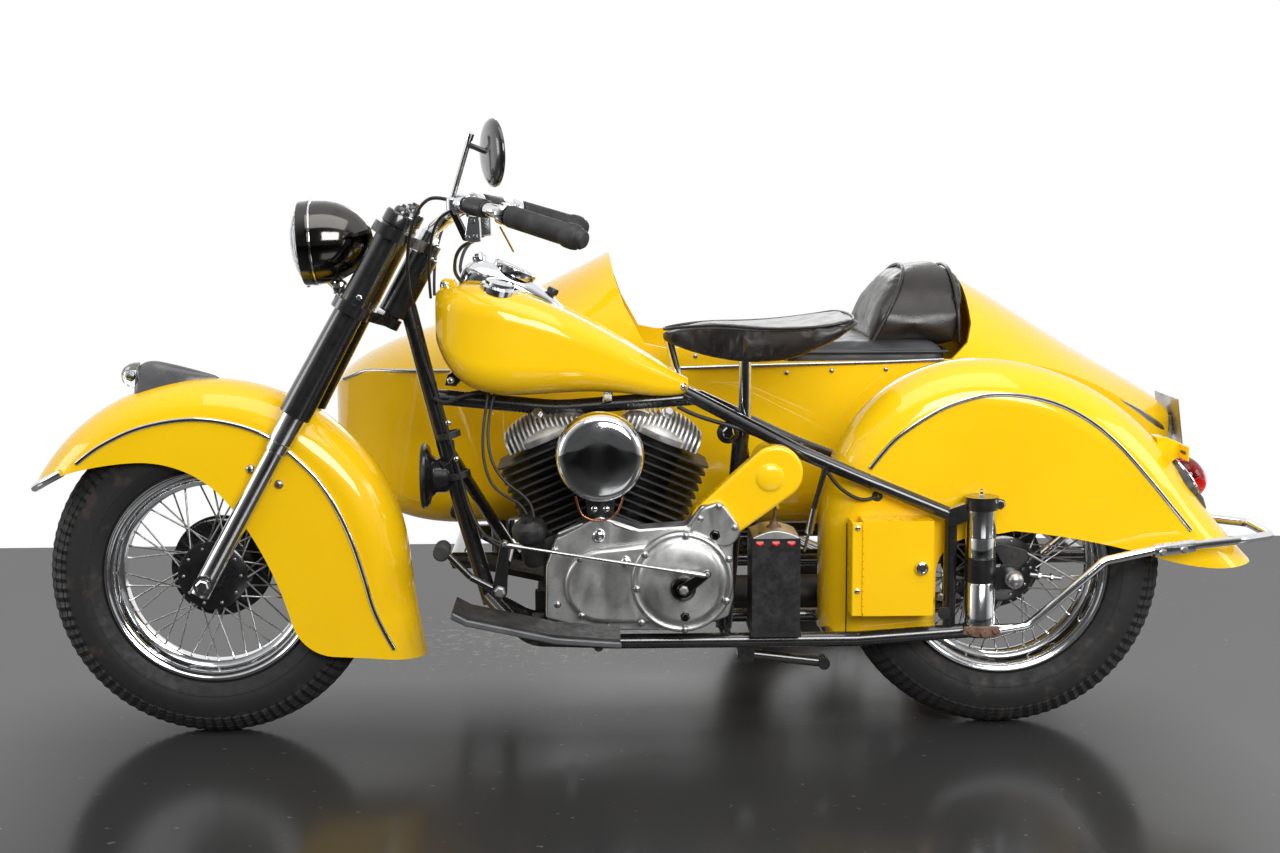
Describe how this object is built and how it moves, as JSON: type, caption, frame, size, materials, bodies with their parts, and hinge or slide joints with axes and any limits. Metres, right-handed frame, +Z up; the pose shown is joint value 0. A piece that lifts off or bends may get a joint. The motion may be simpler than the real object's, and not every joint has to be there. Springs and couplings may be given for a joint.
{
  "type": "sidecar motorcycle",
  "caption": "Vintage V-twin motorcycle in yellow with deep skirted fenders, telescopic fork, sprung solo saddle and a boat-tailed sidecar on its right.",
  "frame": {"origin": "centre of the bounding box's bottom face, on the floor that the three tyres stand on", "axes": "+Z up, front of the machine faces -X, the rider's left faces -Y, the sidecar lies towards +Y"},
  "size_m": [2.517, 1.6345, 1.2392],
  "materials": {
    "battery_case": "satin",
    "black_iron": "satin black enamel",
    "black_paint": "gloss",
    "cast_aluminium": "cast, satin",
    "chrome": "polished",
    "leather": "worn, semi-gloss",
    "red_lens": "glossy, translucent",
    "rubber": "matt",
    "smoked_plastic": "glossy",
    "steel": "satin",
    "tyre_rubber": "dusty",
    "vinyl": "grained, satin",
    "yellow_paint": "gloss"
  },
  "bodies": {
    "chassis": {"frame": "black_paint", "plungers": "chrome", "rear_axle": "steel", "rear_brake_plate": "black_paint", "rear_fender": "yellow_paint", "crankcase": "cast_aluminium", "cylinder_barrels": "black_iron", "cylinder_heads": "cast_aluminium", "primary_cover": "cast_aluminium", "gearbox": "cast_aluminium", "generator": "black_paint", "belt_guard": "yellow_paint", "air_cleaner": "chrome", "distributor": "black_iron", "exhaust": "chrome", "fuel_tank": "yellow_paint", "dash_console": "chrome", "saddle": "leather", "seat_post": "chrome", "battery": "battery_case", "toolbox": "yellow_paint", "horn": "black_paint", "footboards": "rubber", "foot_pedals": "black_paint", "clutch_rod": "steel", "bumper": "chrome", "tail_lamp": "red_lens", "plate_bracket": "yellow_paint", "stand_bracket": "black_paint", "sidecar_tub": "yellow_paint", "sidecar_deck": "yellow_paint", "sidecar_cushion": "vinyl", "sidecar_backrest": "leather", "sidecar_chassis": "black_paint", "sidecar_axle": "steel", "sidecar_fender": "yellow_paint"},
    "steering": {"fork": "black_paint", "front_axle": "steel", "front_brake_plate": "black_paint", "front_fender": "yellow_paint", "fender_lamp": "smoked_plastic", "headlamp": "chrome", "handlebar": "chrome", "grips": "rubber", "mirror": "black_paint"},
    "front_wheel": {"front_tyre": "tyre_rubber", "front_wire_wheel": "chrome", "front_brake_drum": "black_iron"},
    "rear_wheel": {"rear_tyre": "tyre_rubber", "rear_wire_wheel": "chrome", "rear_brake_drum": "black_iron"},
    "sidecar_wheel": {"sidecar_tyre": "tyre_rubber", "sidecar_wire_wheel": "chrome"},
    "toolbox_lid": {"toolbox_door": "yellow_paint"},
    "stand": {"side_stand": "black_paint"}
  },
  "joints": [
    {"name": "steering", "type": "hinge", "parent": "chassis", "child": "steering", "pos_m": [-0.50441, -0.418, 0.9103], "axis": [0.4848, 0, 0.8746], "range_deg": [-35, 35]},
    {"name": "front_wheel_spin", "type": "hinge", "parent": "steering", "child": "front_wheel", "pos_m": [-0.905, -0.418, 0.332], "axis": [0, 1, 0], "continuous": true},
    {"name": "rear_wheel_spin", "type": "hinge", "parent": "chassis", "child": "rear_wheel", "pos_m": [0.703, -0.418, 0.332], "axis": [0, 1, 0], "continuous": true},
    {"name": "sidecar_wheel_spin", "type": "hinge", "parent": "chassis", "child": "sidecar_wheel", "pos_m": [0.525, 0.722, 0.332], "axis": [0, 1, 0], "continuous": true},
    {"name": "toolbox_hinge", "type": "hinge", "parent": "chassis", "child": "toolbox_lid", "pos_m": [0.401, -0.574, 0.356], "axis": [0, 0, -1], "range_deg": [0, 105]},
    {"name": "stand_pivot", "type": "hinge", "parent": "chassis", "child": "stand", "pos_m": [0.173, -0.502, 0.17], "axis": [0, 1, 0], "range_deg": [0, 75]}
  ]
}
